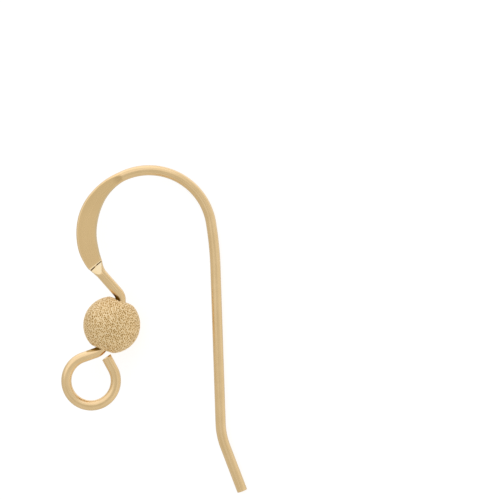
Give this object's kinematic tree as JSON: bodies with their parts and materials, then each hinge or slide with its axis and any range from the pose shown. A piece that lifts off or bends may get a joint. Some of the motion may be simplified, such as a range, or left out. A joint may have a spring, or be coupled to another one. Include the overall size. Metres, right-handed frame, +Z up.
{
  "type": "ear wire",
  "caption": "Fish-hook ear wire of round gold-coloured wire with a pressed flat front, a frosted bead that turns at its foot, and an open loop below for a drop.",
  "frame": {"origin": "middle of the ear wire's footprint, on the surface that it lies on", "axes": "+Y from the tip of the tail towards the top of the arch, +X from the loop towards the post, +Z up from the surface"},
  "size_m": [0.0128, 0.023, 0.004],
  "materials": {
    "gold_wire": "polished",
    "frosted_gold": "frosted"
  },
  "bodies": {
    "hook": {"ear_hook": "gold_wire"},
    "bead": {"frosted_bead": "frosted_gold"}
  },
  "joints": [
    {"name": "bead_spin", "type": "hinge", "parent": "hook", "child": "bead", "pos_m": [-0.00294, 0.00042, 0.002], "axis": [0.3575, 0.9286, -0.0997], "continuous": true}
  ]
}
